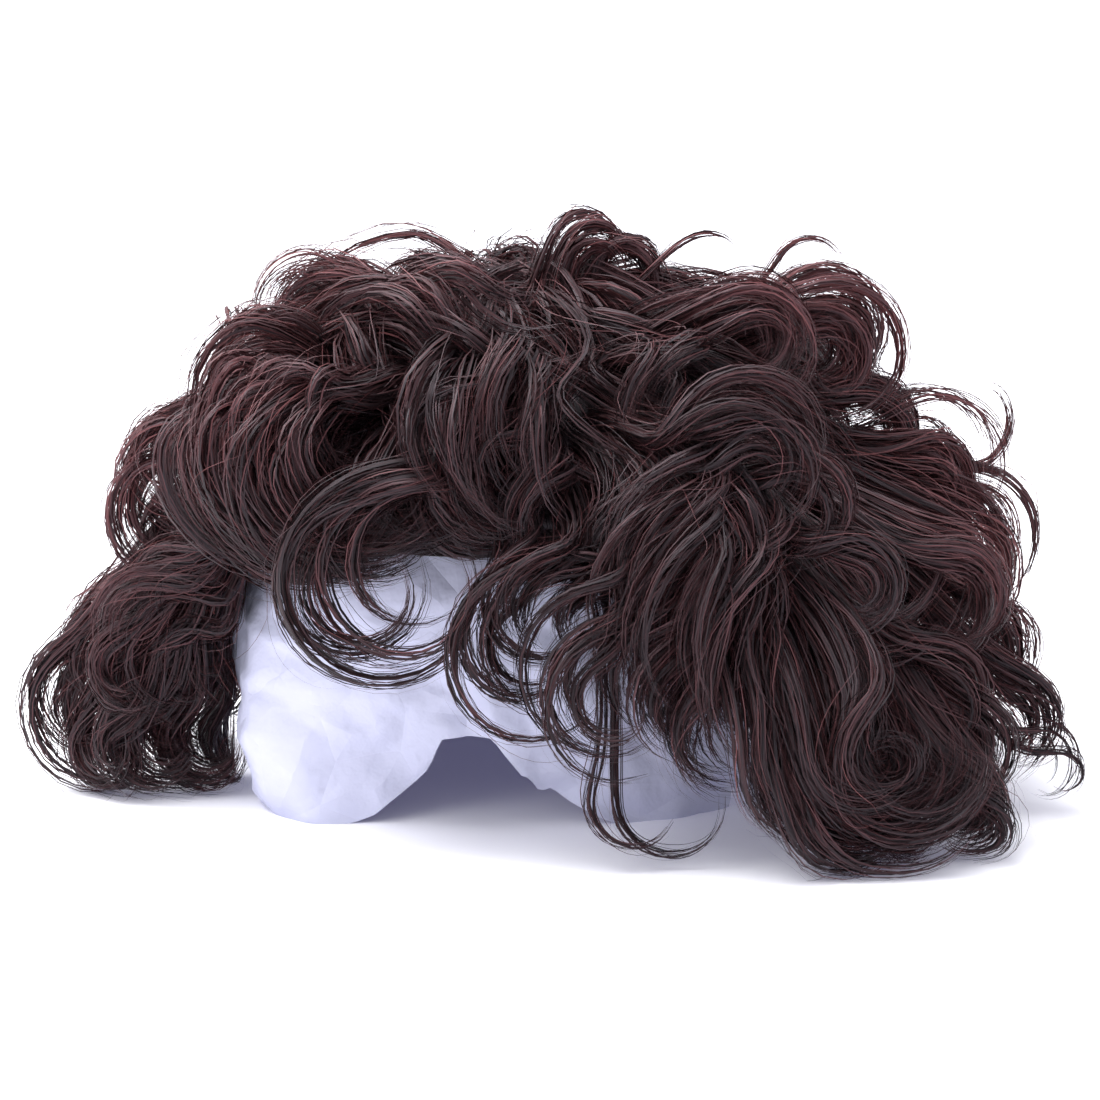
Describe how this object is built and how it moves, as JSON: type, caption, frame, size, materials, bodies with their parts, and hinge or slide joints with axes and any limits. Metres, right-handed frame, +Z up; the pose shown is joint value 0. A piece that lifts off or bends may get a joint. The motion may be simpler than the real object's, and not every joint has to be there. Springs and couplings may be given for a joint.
{
  "type": "hair topper on a crumpled paper stand",
  "caption": "Short curly brown hair topper on a thin net cap with snap clips under it, standing on a hollow white paper stand with an arch at its front foot.",
  "frame": {"origin": "middle of the whole object's box, at the floor", "axes": "+Z up; -Y toward the front, where the stand's arch is; +X to the right as seen from the front"},
  "size_m": [0.2532, 0.2056, 0.1437],
  "materials": {
    "white_paper": "crumpled white paper",
    "cap_net": "dark net",
    "clip_metal": "dark coated spring steel",
    "brown_hair": "glossy curled hair, dark chocolate brown"
  },
  "bodies": {
    "root": {"stand": "white_paper", "base_cap": "cap_net", "clip_front": "clip_metal", "clip_back": "clip_metal", "clip_left": "clip_metal", "clip_right": "clip_metal", "hair": "brown_hair"}
  },
  "joints": []
}
